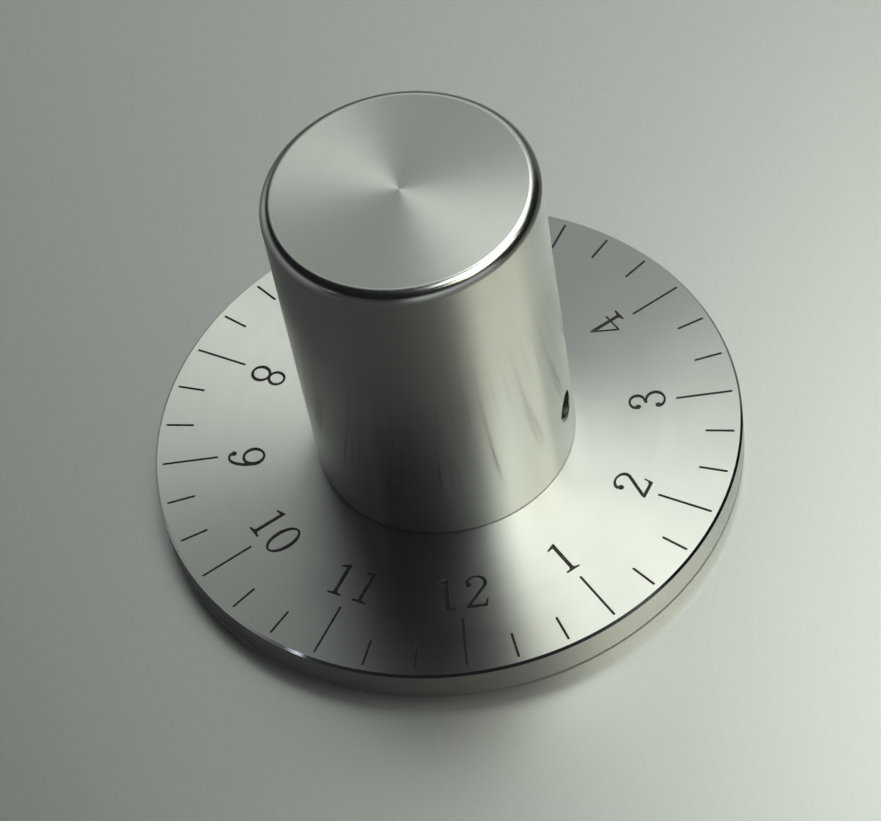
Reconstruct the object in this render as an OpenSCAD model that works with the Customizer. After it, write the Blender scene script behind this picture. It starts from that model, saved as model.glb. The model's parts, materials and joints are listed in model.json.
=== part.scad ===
// Turned aluminium amplifier knob: a plain cylindrical grip seated in a wide dial skirt, whose
// top face is engraved with a scale of 1 to 12. Millimetres. The knob's axis is Z, its underside
// lies on z = 0, and the numeral 12 points along -Y. The scale counts up anticlockwise from above.

/* [Dial skirt] */
// Outer diameter of the skirt
skirt_d = 50; // [46:0.5:70]
// Thickness of the skirt
skirt_t = 3; // [2.4:0.1:6]
// Radius of the polished edge round the top of the rim
rim_r = 0.2; // [0.1:0.05:0.5]
// Chamfer round the bottom edge of the rim
rim_chamfer = 0.15; // [0.05:0.05:0.5]

/* [Grip] */
// Diameter of the grip
grip_d = 22; // [20:0.5:28]
// Height of the grip above the skirt
grip_h = 30; // [24:0.5:45]
// Radius of the polished edge round the top of the grip
crown_r = 1; // [0.3:0.1:3]
// Edge break round the foot of the grip, which shows as a fine seam
seam_break = 0.12; // [0.05:0.01:0.3]

/* [Spigot] */
// Diameter of the spigot under the grip that the skirt sits on
spigot_d = 17; // [14:0.5:18.5]
// Depth of the recess below the spigot, which clears the nut of a panel bushing
nut_recess = 1.2; // [0.4:0.1:1.8]
// Gap all round between the spigot and the skirt, filled with retaining compound
spigot_gap = 0.02; // [0.01:0.01:0.05]

/* [Shaft bore] */
// Diameter of the control shaft that the knob fits
shaft_d = 6; // [4:0.05:6.35]
// Sliding clearance all round the shaft
shaft_gap = 0.025; // [0.01:0.005:0.05]
// Depth of the full-width bore above the end of the spigot
bore_depth = 18; // [14:0.5:20]
// Lead-in chamfer at the bore's mouth
bore_chamfer = 0.4; // [0.1:0.1:0.8]
// Angle of the drill point at the end of the bore
drill_point = 118; // [90:1:140]

/* [Set screw] */
// Pitch diameter of the set screw's thread, 2.68 for an M3 screw
thread_d = 2.68; // [2.2:0.01:3.55]
// Height of the set screw above the skirt
screw_height = 5.4; // [4:0.1:8]
// Direction of the set screw round the axis, in degrees from +X
screw_angle = -18.5; // [-90:0.5:90]
// Length of the set screw
screw_len = 5; // [4:0.5:6]
// Distance that the screw is backed off from the shaft
screw_backoff = 0.2; // [0.1:0.05:0.5]
// Clearance all round between the screw and its hole
thread_gap = 0.02; // [0.01:0.01:0.05]
// Width across the flats of the hexagon socket
socket_af = 1.5; // [1.3:0.1:2]
// Depth of the hexagon socket
socket_depth = 1.6; // [1:0.1:2]
// Bevel at both ends of the screw
screw_bevel = 0.3; // [0.1:0.05:0.5]

/* [Engraved scale] */
// How many numerals stand round the scale
numeral_count = 12; // [6:1:12]
// How many marks there are to each numeral
marks_per_numeral = 3; // [1:1:5]
// Distance from the rim to the outer ends of the marks
mark_margin = 0.65; // [0.5:0.05:1.5]
// Length of a mark that has a numeral
major_len = 4.8; // [3:0.1:5]
// Length of a mark between numerals
minor_len = 2.45; // [1:0.05:3]
// Width of a mark
mark_w = 0.22; // [0.15:0.01:0.4]
// Height of the numerals
numeral_h = 3.15; // [2:0.05:3.5]
// Distance from a numeral's foot to its mark
numeral_gap = 0.85; // [0.5:0.05:1.2]
// Spacing of the digits in the numerals from 10 up
digit_pitch = 2.25; // [1.8:0.05:2.5]
// Depth of the engraving
engrave_depth = 0.2; // [0.1:0.05:0.4]
// How far the black filling lies below the skirt's face
fill_sink = 0.05; // [0.02:0.01:0.08]

/* [Hidden] */
$fn = 96;

// Height of the set screw from the underside
screw_z = skirt_t + screw_height;

// Radii of the marks and of the feet of the numerals
mark_outer_r = skirt_d / 2 - mark_margin;
numeral_foot_r = mark_outer_r - major_len - numeral_gap;

// The shaft bore and its drill point
bore_r = shaft_d / 2 + shaft_gap;
point_h = bore_r / tan(drill_point / 2);

// The set screw runs from its tip, just clear of the shaft, to its socket end
screw_r = thread_d / 2 - thread_gap;
screw_tip = shaft_d / 2 + screw_backoff;

// The digits are drawn on a grid on which 100 is the height of a numeral
grid = 100;
unit = numeral_h / grid;
upright_w = 10.5;
hairline_w = 6;
drop_r = 8;

// Allowance by which a cutter overshoots the face it opens
over = 1;

// Points along an elliptical arc about c, with radii r, between the angles of a
function arc(c, r, a, steps) =
    [for (i = [0:steps]) let (t = a[0] + (a[1] - a[0]) * i / steps) c + [r.x * cos(t), r.y * sin(t)]];

// Points along a curve from p to q that heads for the corner k
function bend(p, k, q, steps) =
    [for (i = [0:steps]) let (t = i / steps) (1 - t) * (1 - t) * p + 2 * t * (1 - t) * k + t * t * q];

// Direction of a path at its point i
function heading(path, i) =
    let (d = path[min(i + 1, len(path) - 1)] - path[max(i - 1, 0)]) d / norm(d);

// Half the width of a stroke that heads along d: full on uprights, fine on levels
function half_pen(d) = (hairline_w + (upright_w - hairline_w) * pow(abs(d.y), 1.4)) / 2;

// One edge of a stroke along a path, on the side of the given sign
function edge(path, sign) =
    [for (i = [0:len(path) - 1])
        let (d = heading(path, i)) path[i] + sign * half_pen(d) * [-d.y, d.x]];

function reversed(list) = [for (i = [len(list) - 1:-1:0]) list[i]];

// An outline drawn on the digits' grid, cut $depth deep, less a hole where there is one
module outline(points, hole = []) linear_extrude($depth) difference() {
    polygon(points * unit);
    if (len(hole) > 0) polygon(hole * unit);
}

// A stroke of the pen along a path
module stroke(path) outline(concat(edge(path, 1), reversed(edge(path, -1))));

// A stroke that starts from a round drop
module drop_stroke(path) {
    stroke(path);
    translate(path[0] * unit) cylinder(r = drop_r * unit, h = $depth, $fn = 24);
}

// An oval with its last point short of its first
function oval(c, r) = arc(c, r, [0, 345], 23);

module digit_0() outline(oval([0, 50], [31, 51]), oval([0, 50], [19.5, 45]));

module digit_1() outline([
    [-20, 0], [20, 0], [20, 5], [8, 7.5], [5.5, 12], [5.5, 100], [2, 100], [-21, 90], [-21, 85.5],
    [-5.5, 88], [-5.5, 12], [-8, 7.5], [-20, 5]
]);

module digit_2() {
    drop_stroke(concat([[-13.5, 73]], arc([6, 76], [24.5, 21], [160, -38], 15), [[-18, 7]]));
    outline([[-23, 0], [31.5, 0], [36, 26], [31.5, 26], [28.5, 14], [22, 9.5], [-9, 9.5], [-21.5, 8.5]]);
}

module digit_3() {
    drop_stroke(concat([[-13, 76]], arc([4, 76.5], [21, 20.5], [158, -68], 15), [[-3, 54]]));
    drop_stroke(concat([[-14, 21.5]], arc([5, 27.5], [25, 25], [-158, 84], 17), [[-3, 52.5]]));
}

module digit_4() outline(
    [
        [2, 0], [41, 0], [41, 5], [29, 7.5], [26, 12], [26, 31.5], [41, 31.5], [41, 36.5], [26, 36.5],
        [26, 100], [20, 100], [-22, 36.5], [-22, 31.5], [15, 31.5], [15, 12], [12, 7.5], [2, 5]
    ],
    [[-14.5, 36.5], [15, 36.5], [15, 82]]
);

module digit_5() {
    outline([[-13, 51], [-8, 53], [-8, 89], [27, 89], [31, 100], [-13, 100]]);
    drop_stroke(concat([[-14, 23]], arc([5, 31], [26.5, 28.5], [-158, 130], 19)));
}

// The 6 is the 9 turned half round about its middle
module digit_6() translate([27, grid] * unit) rotate(180) digit_9();

module digit_7() {
    outline([[-20, 74], [-15.5, 74], [-11.5, 89], [22, 89], [34, 93], [34, 100], [-20, 100]]);
    stroke(bend([27, 93], [4, 56], [3, 0], 8));
}

module digit_8() {
    outline(oval([12, 77.5], [25.5, 25.5]), oval([12, 78], [16, 18]));
    outline(oval([12, 29], [28.5, 28.5]), oval([12, 29.5], [17.5, 21]));
}

module digit_9() {
    outline(oval([13.5, 70.5], [30.5, 31.5]), oval([12.5, 71], [19, 24.5]));
    drop_stroke(concat([[-5, 16.5]], arc([8, 66], [30.5, 63], [-112, 0], 15)));
}

module digit(k) {
    if (k == 0) digit_0();
    if (k == 1) digit_1();
    if (k == 2) digit_2();
    if (k == 3) digit_3();
    if (k == 4) digit_4();
    if (k == 5) digit_5();
    if (k == 6) digit_6();
    if (k == 7) digit_7();
    if (k == 8) digit_8();
    if (k == 9) digit_9();
}

// A numeral with its foot on y = 0, standing on the line of its mark
module numeral(n) {
    tens = floor(n / 10);
    if (tens == 0) digit(n);
    else for (side = [-1, 1]) translate([side * digit_pitch / 2, 0]) digit(side < 0 ? tens : n % 10);
}

// A round-ended mark that runs in from the outer radius along -Y
module mark(length) translate([0, -mark_outer_r]) linear_extrude($depth) polygon(concat(
    arc([0, length - mark_w / 2], [mark_w, mark_w] / 2, [0, 180], 6),
    arc([0, mark_w / 2], [mark_w, mark_w] / 2, [180, 360], 6)
));

// Every mark and numeral of the scale, standing on z = 0 and $depth high
module scale_marks() {
    step = 360 / numeral_count;
    for (n = [1:numeral_count]) rotate(step * n) {
        translate([0, -numeral_foot_r]) numeral(n);
        mark(major_len);
        for (i = [1:1:marks_per_numeral - 1]) rotate(step * i / marks_per_numeral) mark(minor_len);
    }
}

// Half section of a turned blank with a rounded top edge and a chamfered bottom edge
module blank_section(r, h, top_r, bottom_c) {
    polygon([[0, 0], [r - bottom_c, 0], [r, bottom_c], [r, h - top_r], [r - top_r, h - top_r], [0, h - top_r]]);
    translate([0, h - top_r]) square([r - top_r, top_r]);
    translate([r - top_r, h - top_r]) intersection() {
        circle(r = top_r);
        square(top_r);
    }
}

// Half section of the shaft bore, from its chamfered mouth to its drill point
module bore_section() polygon([
    [0, -over], [bore_r + bore_chamfer, -over], [bore_r + bore_chamfer, 0], [bore_r, bore_chamfer],
    [bore_r, bore_depth], [0, bore_depth + point_h]
]);

// Places its children on the set screw's line, with z running outwards from the knob's axis
module on_screw_line() translate([0, 0, screw_z]) rotate([0, 90, screw_angle]) children();

module grip() color("silver") difference() {
    union() {
        translate([0, 0, skirt_t]) rotate_extrude() blank_section(grip_d / 2, grip_h, crown_r, seam_break);
        translate([0, 0, nut_recess]) cylinder(d = spigot_d, h = skirt_t - nut_recess);
    }
    translate([0, 0, nut_recess]) rotate_extrude() bore_section();
    on_screw_line() cylinder(d = thread_d, h = grip_d / 2 + over);
}

module dial_skirt() color("lightgray") difference() {
    rotate_extrude() blank_section(skirt_d / 2, skirt_t, rim_r, rim_chamfer);
    translate([0, 0, -over]) cylinder(r = spigot_d / 2 + spigot_gap, h = skirt_t + 2 * over);
    translate([0, 0, skirt_t - engrave_depth]) scale_marks($depth = engrave_depth + over);
}

module scale_filling() color("black")
    translate([0, 0, skirt_t - engrave_depth]) scale_marks($depth = engrave_depth - fill_sink);

module set_screw() color("dimgray") on_screw_line() translate([0, 0, screw_tip]) difference() {
    rotate_extrude() polygon([
        [0, 0], [screw_r - screw_bevel, 0], [screw_r, screw_bevel], [screw_r, screw_len - screw_bevel],
        [screw_r - screw_bevel, screw_len], [0, screw_len]
    ]);
    translate([0, 0, screw_len - socket_depth])
        cylinder(r = socket_af / 2 / cos(30), h = socket_depth + over, $fn = 6);
}

grip();
dial_skirt();
scale_filling();
set_screw();
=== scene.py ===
"""A turned aluminium amplifier knob: its finish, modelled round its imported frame.

Metres. The knob's axis is Z, its underside rests on z = 0 and the numeral 12 points along -Y.
"""

import json
import math

import bmesh
import bpy
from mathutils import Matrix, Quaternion, Vector


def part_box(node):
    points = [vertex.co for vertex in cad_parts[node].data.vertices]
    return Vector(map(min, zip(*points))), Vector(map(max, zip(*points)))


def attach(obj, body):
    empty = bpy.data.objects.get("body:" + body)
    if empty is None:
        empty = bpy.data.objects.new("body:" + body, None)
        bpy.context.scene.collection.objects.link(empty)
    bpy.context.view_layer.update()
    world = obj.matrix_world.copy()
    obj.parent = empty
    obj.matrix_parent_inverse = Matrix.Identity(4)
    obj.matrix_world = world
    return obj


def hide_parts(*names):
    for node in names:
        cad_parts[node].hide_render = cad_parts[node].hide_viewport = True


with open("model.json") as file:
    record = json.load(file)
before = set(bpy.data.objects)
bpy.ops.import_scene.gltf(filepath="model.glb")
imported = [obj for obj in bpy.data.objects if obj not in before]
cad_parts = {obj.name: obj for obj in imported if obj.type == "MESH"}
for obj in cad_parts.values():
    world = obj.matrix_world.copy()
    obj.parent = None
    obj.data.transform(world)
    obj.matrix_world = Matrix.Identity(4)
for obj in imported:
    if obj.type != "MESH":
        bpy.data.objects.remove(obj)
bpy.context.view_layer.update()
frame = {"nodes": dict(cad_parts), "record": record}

# Sizes that the frame gives
MM = 0.001
GRIP_LOW, GRIP_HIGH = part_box("grip")
SKIRT_LOW, SKIRT_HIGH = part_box("dial_skirt")
FILL_LOW, FILL_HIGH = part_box("scale_filling")
SCREW_LOW, SCREW_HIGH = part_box("set_screw")
BORE = next(mount["dims"] for mount in frame["record"]["mounts"] if mount["name"] == "shaft_bore")
GRIP_R = GRIP_HIGH.x
TOP_Z = GRIP_HIGH.z
SPIGOT_Z = GRIP_LOW.z
SKIRT_R = SKIRT_HIGH.x
FACE_Z = SKIRT_HIGH.z
BASE_Z = SKIRT_LOW.z
BORE_R = BORE["r_mm"] * MM
SCREW_MIDDLE = (SCREW_LOW + SCREW_HIGH) / 2
SCREW_ANGLE = math.atan2(SCREW_MIDDLE.y, SCREW_MIDDLE.x)

# Edges and hidden seats
CROWN_R = 1.0 * MM
SEAM_BREAK = 0.12 * MM
RIM_EDGE = 0.2 * MM
BASE_EDGE = 0.15 * MM
SPIGOT_R = 8.5 * MM
SPIGOT_GAP = 0.02 * MM
BORE_CHAMFER = 0.4 * MM
BORE_DEPTH = 18.0 * MM
DRILL_POINT = math.radians(118)

# The set screw and its thread, M3
THREAD_R = 1.5 * MM
THREAD_PITCH = 0.5 * MM
TOOTH_H = 0.36 * MM
HOLE_R = 1.25 * MM
MOUTH_R = 1.38 * MM
SCREW_CORE_R = 1.2 * MM
SCREW_TOOTH_R = 1.45 * MM
SCREW_TIP = 3.2 * MM
SCREW_LEN = 5.0 * MM
SCREW_BEVEL = 0.3 * MM
SOCKET_FLATS = 1.5 * MM
SOCKET_SIDES = 6
SOCKET_R = SOCKET_FLATS / 2 / math.cos(math.pi / SOCKET_SIDES)
SOCKET_DEPTH = 1.6 * MM

# Fineness of the turned shapes
GRIP_SIDES = 320
SKIRT_SIDES = 400
CROWN_STEPS = 16
THREAD_STEPS = 28
SUPPORT = 0.02 * MM
NEAR = 0.002 * MM
WELD = NEAR / 20
SMOOTH_ANGLE = math.radians(18)

# Camera and floor
CAMERA_SPOT = Vector((13.22, -154.15, 197.88)) * MM
CAMERA_AIM = Vector((-0.34, 1.93, 3.0)) * MM
CAMERA_ROLL = math.radians(11.247)
CAMERA_LENS = 120.209
SENSOR_WIDTH = 36.0
CLIP_START = 0.01
FLOOR_SIZE = 6.0

# The glow along the horizon: the sines of the elevations where it starts to fade and ends
GLOW_FADE = 0.25
GLOW_END = 0.55

# Parts of the horizon that glow less: azimuth, elevation, cosines of outer and inner edge, share taken off
DIM_SIDES = (
    (10, 15, 0.72, 0.88, 1.0),
    (-125, 12, 0.76, 0.93, 0.90),
    (85, 5, 0.60, 0.90, 0.80),
    (175, 15, 0.75, 0.95, 0.45),
)

# A pale patch of the room behind: azimuth, elevation, cosines of outer and inner edge
PALE_PATCH = (82, 42, 0.86, 0.99)


class Wire:
    """A shader socket whose arithmetic adds Math nodes to its finish."""

    def __init__(self, finish, socket):
        self.finish = finish
        self.socket = socket

    def out(self, name):
        """Another output of the same node."""
        return Wire(self.finish, self.socket.node.outputs[name])

    def math(self, operation, first, second):
        return self.finish.node("Math", {"operation": operation}, {0: first, 1: second})

    def __add__(self, other):
        return self.math("ADD", self, other)

    __radd__ = __add__

    def __mul__(self, other):
        return self.math("MULTIPLY", self, other)

    __rmul__ = __mul__

    def __sub__(self, other):
        return self.math("SUBTRACT", self, other)

    def __rsub__(self, other):
        return self.math("SUBTRACT", other, self)


class Finish:
    """The node tree of a material or of the world."""

    def __init__(self, owner):
        owner.use_nodes = True
        self.tree = owner.node_tree
        self.tree.nodes.clear()

    def node(self, kind, settings=None, inputs=None, output=0):
        """Adds a node with its settings and the values or links of its sockets."""
        made = self.tree.nodes.new("ShaderNode" + kind)
        for name, value in (settings or {}).items():
            setattr(made, name, value)
        for key, value in (inputs or {}).items():
            if isinstance(value, Wire):
                self.tree.links.new(value.socket, made.inputs[key])
            else:
                made.inputs[key].default_value = value
        return Wire(self, made.outputs[output])

    def place(self):
        return self.node("TexCoord", output="Object")

    def noise(self, vector, size, detail=2.0):
        """Soft noise between 0 and 1 with features of a size in metres."""
        inputs = {"Vector": vector, "Scale": 1 / size, "Detail": detail}
        return self.node("TexNoise", {"noise_dimensions": "3D"}, inputs)

    def rings(self, along, size, detail=2.0):
        """Noise that changes only with one measure, which makes rings or lines."""
        inputs = {"W": along, "Scale": 1 / size, "Detail": detail}
        return self.node("TexNoise", {"noise_dimensions": "1D"}, inputs)

    def ease(self, value, low, high):
        """0 below low, 1 above high and a smooth step between."""
        inputs = {"Value": value, "From Min": low, "From Max": high}
        return self.node("MapRange", {"interpolation_type": "SMOOTHSTEP"}, inputs)

    def mix(self, factor, first, second):
        """A colour between two others."""
        return self.node("Mix", {"data_type": "RGBA"}, {0: factor, 6: first, 7: second}, output=2)

    def bump(self, height, depth):
        return self.node("Bump", None, {"Height": height, "Distance": depth, "Strength": 1.0})

    def surface(self, inputs):
        shader = self.node("BsdfPrincipled", None, inputs)
        self.node_end("OutputMaterial", shader)

    def node_end(self, kind, shader):
        end = self.tree.nodes.new("ShaderNode" + kind)
        self.tree.links.new(shader.socket, end.inputs["Surface"])


def grey(value, tint=(1.0, 1.0, 1.0)):
    """A colour of one lightness, with a tint."""
    return (value * tint[0], value * tint[1], value * tint[2], 1.0)


# Materials
METAL_TINT = (0.975, 1.0, 0.96)
FLOOR_TINT = (0.965, 1.0, 0.97)
FINE_GROOVE = 0.16 * MM
BROAD_GROOVE = 1.3 * MM
PATINA = 5.0 * MM
QUARTER_TURN = 0.25


def turned_metal(name, lightness, roughness, spread, depth, across, lean=0.0):
    """Turned aluminium: fine grooves round the axis spread its reflections across them.

    The grooves' flanks lean outwards by a slope, because the tool cuts them one-sided.
    """
    material = bpy.data.materials.new(name)
    finish = Finish(material)
    place = finish.place()
    split = finish.node("SeparateXYZ", None, {0: place}, output="Z")
    if across == "height":
        along = split
    else:
        flat = finish.node("CombineXYZ", None, {"X": split.out("X"), "Y": split.out("Y")})
        along = finish.node("VectorMath", {"operation": "LENGTH"}, {0: flat}, output="Value")
    fine = finish.rings(along, FINE_GROOVE, detail=3.0)
    broad = finish.rings(along, BROAD_GROOVE)
    cloud = finish.noise(place, PATINA)
    dull = grey(lightness * 0.93, METAL_TINT)
    clean = grey(lightness, METAL_TINT)
    shade = 0.915 + fine * 0.04 + broad * 0.05 + cloud * 0.08
    colour = finish.mix(finish.ease(shade, 0.94, 1.06), dull, clean)
    finish.surface({
        "Base Color": colour,
        "Metallic": 1.0,
        "Roughness": roughness * (0.84 + broad * 0.08 + cloud * 0.24),
        "Anisotropic": spread,
        "Anisotropic Rotation": QUARTER_TURN,
        "Normal": finish.bump(fine + broad * 2.0 - along * (lean / depth), depth),
    })
    return material


def polished_metal(name, lightness, roughness):
    """Aluminium buffed bright, with faint wear marks."""
    material = bpy.data.materials.new(name)
    finish = Finish(material)
    place = finish.place()
    wear = finish.noise(place, size=0.5 * MM, detail=4.0)
    dull = grey(lightness * 0.95, METAL_TINT)
    clean = grey(lightness, METAL_TINT)
    finish.surface({
        "Base Color": finish.mix(wear, dull, clean),
        "Metallic": 1.0,
        "Roughness": roughness * (0.7 + wear * 0.6),
    })
    return material


def black_enamel():
    """Black enamel wiped into the engraving, uneven and rubbed thin in places."""
    material = bpy.data.materials.new("black_enamel")
    finish = Finish(material)
    place = finish.place()
    grain = finish.noise(place, size=0.06 * MM, detail=3.0)
    worn = finish.ease(finish.noise(place, size=0.7 * MM, detail=3.0), 0.52, 0.74)
    black = grey(0.017)
    rubbed = grey(0.075, (1.0, 1.0, 0.95))
    finish.surface({
        "Base Color": finish.mix(worn * (0.4 + grain), black, rubbed),
        "Roughness": 0.38 + grain * 0.2,
        "Normal": finish.bump(grain, 0.004 * MM),
    })
    return material


def blackened_steel():
    """Blackened steel of the set screw, with a little oil."""
    material = bpy.data.materials.new("blackened_steel")
    finish = Finish(material)
    place = finish.place()
    grain = finish.noise(place, size=0.12 * MM, detail=4.0)
    oiled = grey(0.05)
    dry = grey(0.13, (1.0, 0.98, 0.95))
    finish.surface({
        "Base Color": finish.mix(grain, oiled, dry),
        "Metallic": 1.0,
        "Roughness": 0.28 + grain * 0.2,
    })
    return material


def painted_seam_shade():
    """Painted shade in the seam at the grip's foot: a dull dark colour that stands in for the shadow in the
    gap.
    """
    material = bpy.data.materials.new("painted_seam_shade")
    finish = Finish(material)
    grain = finish.noise(finish.place(), size=0.3 * MM)
    finish.surface({
        "Base Color": finish.mix(grain, grey(0.04), grey(0.08)),
        "Roughness": 0.6,
    })
    return material


def floor_paint():
    """A plain pale floor with a satin sheen and a faint grain."""
    material = bpy.data.materials.new("pale_floor")
    finish = Finish(material)
    place = finish.place()
    grain = finish.noise(place, size=0.45 * MM)
    finish.surface({
        "Base Color": finish.mix(grain, grey(0.67, FLOOR_TINT), grey(0.73, FLOOR_TINT)),
        "Metallic": 0.88,
        "Roughness": 0.32 + grain * 0.04,
        "Normal": finish.bump(grain, 0.004 * MM),
    })
    return material


# Modelling steps
def activate(piece):
    """Makes one piece the only selected and the active one."""
    bpy.ops.object.select_all(action="DESELECT")
    piece.select_set(True)
    bpy.context.view_layer.objects.active = piece


def begin_edit(piece):
    activate(piece)
    bpy.ops.object.mode_set(mode="EDIT")
    bpy.ops.mesh.select_all(action="DESELECT")


def end_edit():
    bpy.ops.object.mode_set(mode="OBJECT")


def settle():
    """Puts the active piece's place and turn into its mesh."""
    bpy.ops.object.transform_apply(location=True, rotation=True, scale=True)


def cylinder(name, radius, low, high, sides):
    """Starts a piece as a cylinder about Z."""
    bpy.ops.object.select_all(action="DESELECT")
    middle = (0, 0, (low + high) / 2)
    bpy.ops.mesh.primitive_cylinder_add(vertices=sides, radius=radius, depth=high - low, location=middle)
    piece = bpy.context.object
    piece.name = name
    settle()
    return piece


def pick(piece, kind, test):
    """Selects the edges or faces of a piece in edit mode whose corners all pass a test."""
    bpy.ops.mesh.select_mode(type=kind)
    bpy.ops.mesh.select_all(action="DESELECT")
    mesh = bmesh.from_edit_mesh(piece.data)
    for part in mesh.edges if kind == "EDGE" else mesh.faces:
        if all(test(corner.co) for corner in part.verts):
            part.select_set(True)
    bmesh.update_edit_mesh(piece.data)


def ring(radius, height):
    """A test for points on a circle about the axis."""
    return lambda point: abs(point.xy.length - radius) < NEAR and abs(point.z - height) < NEAR


def level(height, within=math.inf):
    """A test for points at a height, within a radius."""
    return lambda point: abs(point.z - height) < NEAR and point.xy.length < within + NEAR


def band(low, high, inner, outer):
    """A test for points between two heights and two radii."""
    return lambda point: (low - NEAR < point.z < high + NEAR
                          and inner - NEAR < point.xy.length < outer + NEAR)


def round_ring(piece, radius, height, offset, steps=1):
    """Bevels the edge round a circle, flat or round in a number of steps."""
    pick(piece, "EDGE", ring(radius, height))
    bpy.ops.mesh.bevel(offset=offset, offset_type="OFFSET", segments=steps, profile=0.5, affect="EDGES")


def add_loop(piece, height):
    """Cuts an edge loop round a piece at a height."""
    bpy.ops.mesh.select_all(action="SELECT")
    bpy.ops.mesh.bisect(plane_co=(0, 0, height), plane_no=(0, 0, 1))


def push(distance):
    """Extrudes the selected face along Z."""
    bpy.ops.mesh.extrude_region_move(TRANSFORM_OT_translate={"value": (0, 0, distance)})


def combine(piece, tool, operation):
    """Cuts a piece with a tool, or joins the tool to it, and removes the tool."""
    change = piece.modifiers.new(operation.lower(), "BOOLEAN")
    change.operation = operation
    change.solver = "EXACT"
    change.object = tool
    activate(piece)
    bpy.ops.object.modifier_apply(modifier=change.name)
    bpy.data.objects.remove(tool)


def coat(piece, materials):
    """Gives a piece its materials in order, the first all over."""
    piece.data.materials.clear()
    for material in materials:
        piece.data.materials.append(material)


def assign(piece, index, test):
    """Gives the faces that pass a test another of the piece's materials."""
    begin_edit(piece)
    pick(piece, "FACE", test)
    piece.active_material_index = index
    bpy.ops.object.material_slot_assign()
    end_edit()


def finish_mesh(piece):
    """Merges doubles, turns faces outwards and smooths all but the sharp edges."""
    begin_edit(piece)
    bpy.ops.mesh.select_all(action="SELECT")
    bpy.ops.mesh.remove_doubles(threshold=WELD)
    bpy.ops.mesh.normals_make_consistent(inside=False)
    end_edit()
    bpy.ops.object.shade_smooth_by_angle(angle=SMOOTH_ANGLE)


def thread_ridge(name, tip_r, low, high):
    """One helical tooth about Z, with a 60 degree section."""
    corner_r = TOOTH_H * 2 / 3
    turned = (math.radians(90), math.radians(90), 0)
    bpy.ops.object.select_all(action="DESELECT")
    bpy.ops.mesh.primitive_circle_add(vertices=3, radius=corner_r, location=(tip_r - corner_r, 0, low),
                                      rotation=turned)
    ridge = bpy.context.object
    ridge.name = name
    settle()
    helix = ridge.modifiers.new("helix", "SCREW")
    helix.axis = "Z"
    helix.screw_offset = THREAD_PITCH
    helix.iterations = round((high - low) / THREAD_PITCH)
    helix.steps = THREAD_STEPS
    helix.render_steps = THREAD_STEPS
    bpy.ops.object.modifier_apply(modifier=helix.name)
    begin_edit(ridge)
    bpy.ops.mesh.select_all(action="SELECT")
    bpy.ops.mesh.fill_holes(sides=3)
    bpy.ops.mesh.normals_make_consistent(inside=False)
    end_edit()
    return ridge


def countersink(name, radius, height):
    """A right-angled cone about Z with a radius at a height, wider above it."""
    reach = THREAD_PITCH
    bpy.ops.object.select_all(action="DESELECT")
    bpy.ops.mesh.primitive_cone_add(vertices=THREAD_STEPS * 2, radius1=radius - reach, radius2=radius + reach,
                                    depth=2 * reach, location=(0, 0, height))
    cone = bpy.context.object
    cone.name = name
    settle()
    return cone


def to_screw_line(piece):
    """Turns a piece made about Z so that its Z runs outwards along the set screw."""
    activate(piece)
    piece.rotation_euler = (0, math.radians(90), SCREW_ANGLE)
    piece.location = (0, 0, SCREW_MIDDLE.z)
    settle()


# Pieces
def turned_grip(materials):
    """The grip: a plain cylinder with a rounded top edge, on a bored spigot."""
    piece = cylinder("turned_grip", GRIP_R, FACE_Z, TOP_Z, GRIP_SIDES)
    begin_edit(piece)
    round_ring(piece, GRIP_R, TOP_Z, CROWN_R, CROWN_STEPS)
    round_ring(piece, GRIP_R, FACE_Z, SEAM_BREAK)
    pick(piece, "FACE", level(TOP_Z))
    bpy.ops.mesh.inset(thickness=SUPPORT)
    pick(piece, "FACE", level(FACE_Z))
    bpy.ops.mesh.inset(thickness=GRIP_R - SEAM_BREAK - SPIGOT_R)
    push(SPIGOT_Z - FACE_Z)
    bpy.ops.mesh.inset(thickness=SPIGOT_R - BORE_R - BORE_CHAMFER)
    push(BORE_CHAMFER)
    narrow = BORE_R / (BORE_R + BORE_CHAMFER)
    bpy.ops.transform.resize(value=(narrow, narrow, 1), center_override=(0, 0, SPIGOT_Z + BORE_CHAMFER))
    push(BORE_DEPTH - BORE_CHAMFER)
    push(BORE_R / math.tan(DRILL_POINT / 2))
    bpy.ops.mesh.merge(type="CENTER")
    for height in (TOP_Z - CROWN_R - SUPPORT, SCREW_MIDDLE.z + 2 * THREAD_R, SCREW_MIDDLE.z - 2 * THREAD_R):
        add_loop(piece, height)
    end_edit()
    for tool in (cylinder("hole_drill", HOLE_R, 0, GRIP_R + THREAD_PITCH, THREAD_STEPS * 2),
                 thread_ridge("hole_tap", THREAD_R, BORE_R - THREAD_PITCH, GRIP_R + THREAD_PITCH),
                 countersink("hole_mouth", MOUTH_R, GRIP_R)):
        to_screw_line(tool)
        combine(piece, tool, "DIFFERENCE")
    coat(piece, materials)
    assign(piece, 1, band(TOP_Z - CROWN_R, TOP_Z, GRIP_R - CROWN_R, GRIP_R))
    assign(piece, 2, level(TOP_Z, GRIP_R - CROWN_R))
    # The foot's edge break takes the fourth material, the painted shade of the seam.
    assign(piece, 3, band(FACE_Z, FACE_Z + SEAM_BREAK, GRIP_R - SEAM_BREAK, GRIP_R))
    finish_mesh(piece)
    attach(piece, "root")
    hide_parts("grip")


def engraver():
    """A copy of the filling, raised through the dial's face."""
    activate(frame["nodes"]["scale_filling"])
    bpy.ops.object.duplicate()
    tool = bpy.context.object
    tool.name = "engraver"
    tool.parent = None
    bpy.ops.mesh.customdata_custom_splitnormals_clear()
    begin_edit(tool)
    bpy.ops.mesh.select_all(action="SELECT")
    bpy.ops.mesh.remove_doubles(threshold=WELD)
    pick(tool, "FACE", level(FILL_HIGH.z))
    bpy.ops.transform.translate(value=(0, 0, FACE_Z - FILL_LOW.z))
    end_edit()
    return tool


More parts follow.
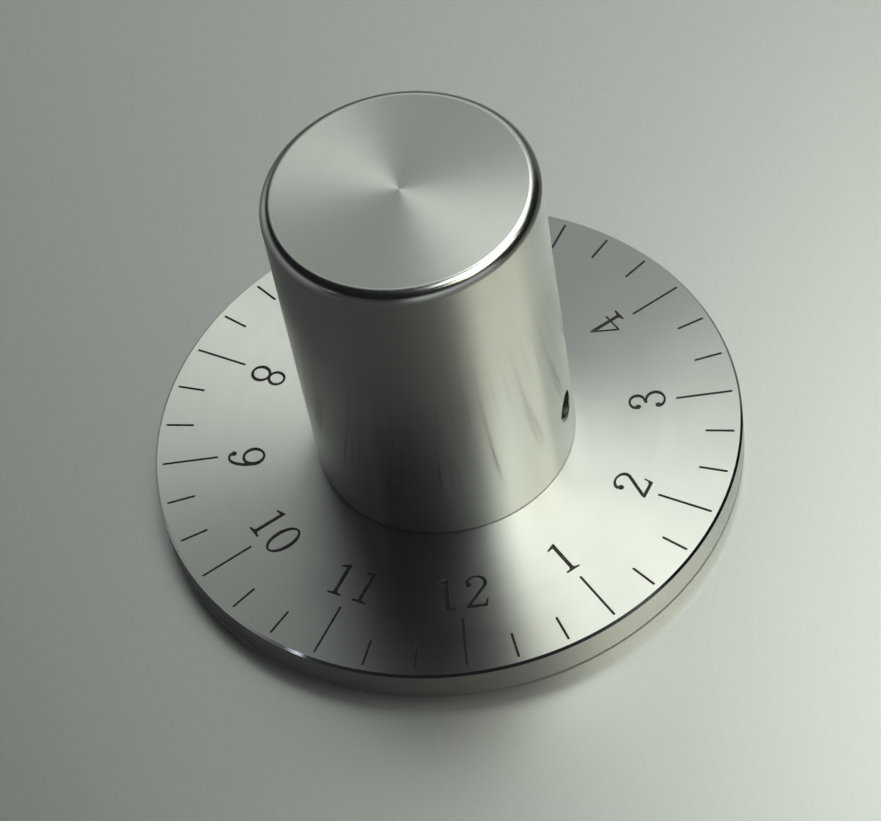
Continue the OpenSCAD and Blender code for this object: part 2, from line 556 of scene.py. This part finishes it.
def turned_skirt(materials):
    """The dial skirt: a disc with a polished top edge, bored for the spigot and engraved."""
    piece = cylinder("turned_skirt", SKIRT_R, BASE_Z, FACE_Z, SKIRT_SIDES)
    begin_edit(piece)
    round_ring(piece, SKIRT_R, FACE_Z, RIM_EDGE)
    round_ring(piece, SKIRT_R, BASE_Z, BASE_EDGE)
    seat_r = SPIGOT_R + SPIGOT_GAP
    pick(piece, "FACE", level(FACE_Z))
    bpy.ops.mesh.inset(thickness=SUPPORT)
    bpy.ops.mesh.inset(thickness=SKIRT_R - RIM_EDGE - SUPPORT - seat_r)
    pick(piece, "FACE", level(BASE_Z))
    bpy.ops.mesh.inset(thickness=SKIRT_R - BASE_EDGE - seat_r)
    pick(piece, "FACE", lambda point: point.xy.length < seat_r + SUPPORT)
    bpy.ops.mesh.bridge_edge_loops()
    add_loop(piece, FACE_Z - RIM_EDGE - SUPPORT)
    end_edit()
    combine(piece, engraver(), "DIFFERENCE")
    coat(piece, materials)
    assign(piece, 1, band(FACE_Z - RIM_EDGE, FACE_Z, SKIRT_R - RIM_EDGE, SKIRT_R))
    assign(piece, 2, band(BASE_Z, FACE_Z - RIM_EDGE, SKIRT_R - BASE_EDGE, SKIRT_R))
    finish_mesh(piece)
    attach(piece, "root")
    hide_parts("dial_skirt")


def socket_screw(material):
    """The set screw: a threaded rod with bevelled ends and a hexagon socket."""
    end = SCREW_TIP + SCREW_LEN
    piece = cylinder("socket_screw", SCREW_CORE_R, SCREW_TIP, end, THREAD_STEPS * 2)
    begin_edit(piece)
    for height in (SCREW_TIP, end):
        round_ring(piece, SCREW_CORE_R, height, SCREW_BEVEL)
    end_edit()
    ridge = thread_ridge("screw_ridge", SCREW_TOOTH_R, SCREW_TIP + THREAD_PITCH / 2, end - THREAD_PITCH / 2)
    combine(piece, ridge, "UNION")
    socket = cylinder("socket", SOCKET_R, end - SOCKET_DEPTH, end + SOCKET_DEPTH, SOCKET_SIDES)
    combine(piece, socket, "DIFFERENCE")
    coat(piece, [material])
    to_screw_line(piece)
    finish_mesh(piece)
    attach(piece, "root")
    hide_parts("set_screw")


def scale_filling(material):
    """The enamel in the engraving, which stays the solid."""
    coat(frame["nodes"]["scale_filling"], [material])


# Stage
def look_at(thing, spot, aim, roll=0.0):
    """Puts a camera or lamp at a spot and points it at an aim."""
    thing.location = spot
    thing.rotation_mode = "QUATERNION"
    thing.rotation_quaternion = (aim - spot).to_track_quat("-Z", "Y") @ Quaternion((0, 0, 1), -roll)


def camera():
    lens = bpy.data.cameras.new("camera")
    lens.sensor_width = SENSOR_WIDTH
    lens.lens = CAMERA_LENS
    lens.clip_start = CLIP_START
    thing = bpy.data.objects.new("camera", lens)
    bpy.context.scene.collection.objects.link(thing)
    look_at(thing, CAMERA_SPOT, CAMERA_AIM, CAMERA_ROLL)
    bpy.context.scene.camera = thing


def floor():
    bpy.ops.object.select_all(action="DESELECT")
    bpy.ops.mesh.primitive_plane_add(size=FLOOR_SIZE, location=(0, 0, BASE_Z))
    thing = bpy.context.object
    thing.name = "pale_floor"
    settle()
    coat(thing, [floor_paint()])


def direction(azimuth, elevation):
    """The unit vector towards an azimuth from +X and an elevation, in degrees."""
    turn, rise = math.radians(azimuth), math.radians(elevation)
    return Vector((math.cos(rise) * math.cos(turn), math.cos(rise) * math.sin(turn), math.sin(rise)))


def softbox(name, azimuth, elevation, distance, width, height, radiance, tint):
    """A soft rectangular lamp that faces the knob, as bright as its radiance says."""
    light = bpy.data.lights.new(name, "AREA")
    light.shape = "RECTANGLE"
    light.size = width
    light.size_y = height
    light.energy = radiance * math.pi * width * height
    light.color = tint
    thing = bpy.data.objects.new(name, light)
    bpy.context.scene.collection.objects.link(thing)
    aim = Vector((0, 0, FACE_Z))
    look_at(thing, aim + direction(azimuth, elevation) * distance, aim)


def studio():
    """A dim room that glows faintly along the horizon, with soft lamps above, behind and at the right."""
    world = bpy.data.worlds.new("studio")
    bpy.context.scene.world = world
    finish = Finish(world)
    way = finish.node("TexCoord", output="Generated")
    height = finish.node("SeparateXYZ", None, {0: way}, output="Z")

    def facing(azimuth, elevation, outer, inner):
        towards = {0: way, 1: direction(azimuth, elevation)}
        nearness = finish.node("VectorMath", {"operation": "DOT_PRODUCT"}, towards, output="Value")
        return finish.ease(nearness, outer, inner)

    room = grey(0.010, (0.9, 1.0, 1.15))
    horizon = grey(0.42, (0.96, 1.0, 0.98))
    patch = grey(0.55, (0.94, 1.0, 0.94))
    glow = 1 - finish.ease(height, GLOW_FADE, GLOW_END)
    for azimuth, elevation, outer, inner, share in DIM_SIDES:
        glow = glow * (1 - share * facing(azimuth, elevation, outer, inner))
    colour = finish.mix(glow, room, horizon)
    colour = finish.mix(facing(*PALE_PATCH), colour, patch)
    finish.node_end("OutputWorld", finish.node("Background", None, {"Color": colour, "Strength": 1.0}))
    softbox("overhead", azimuth=5, elevation=76, distance=0.9, width=0.36, height=0.26,
            radiance=2.8, tint=(0.95, 1.0, 0.95))
    softbox("behind", azimuth=48, elevation=58, distance=0.9, width=0.62, height=0.36,
            radiance=1.65, tint=(0.97, 1.0, 0.91))
    softbox("right", azimuth=-19, elevation=54, distance=0.9, width=0.66, height=0.42,
            radiance=1.9, tint=(1.0, 0.99, 0.83))
    softbox("glint", azimuth=-149, elevation=24, distance=0.6, width=0.05, height=0.02,
            radiance=1.6, tint=(0.80, 0.88, 1.0))


camera()
wall = turned_metal("turned_wall", lightness=0.71, roughness=0.20, spread=0.85,
                    depth=0.0004 * MM, across="height")
top = turned_metal("spun_top", lightness=0.66, roughness=0.30, spread=0.80,
                   depth=0.0004 * MM, across="radius")
face = turned_metal("turned_face", lightness=0.82, roughness=0.34, spread=0.97,
                    depth=0.0006 * MM, across="radius", lean=0.03)
side = turned_metal("satin_rim", lightness=0.63, roughness=0.28, spread=0.85,
                    depth=0.0005 * MM, across="height")
crown = polished_metal("polished_crown", lightness=0.72, roughness=0.18)
edge = polished_metal("polished_edge", lightness=0.84, roughness=0.10)
# The grip's fourth material is painted shade for the seam at its foot.
turned_grip([wall, crown, top, painted_seam_shade()])
turned_skirt([face, edge, side])
socket_screw(blackened_steel())
scale_filling(black_enamel())
floor()
studio()
bpy.context.scene.view_settings.view_transform = "Standard"
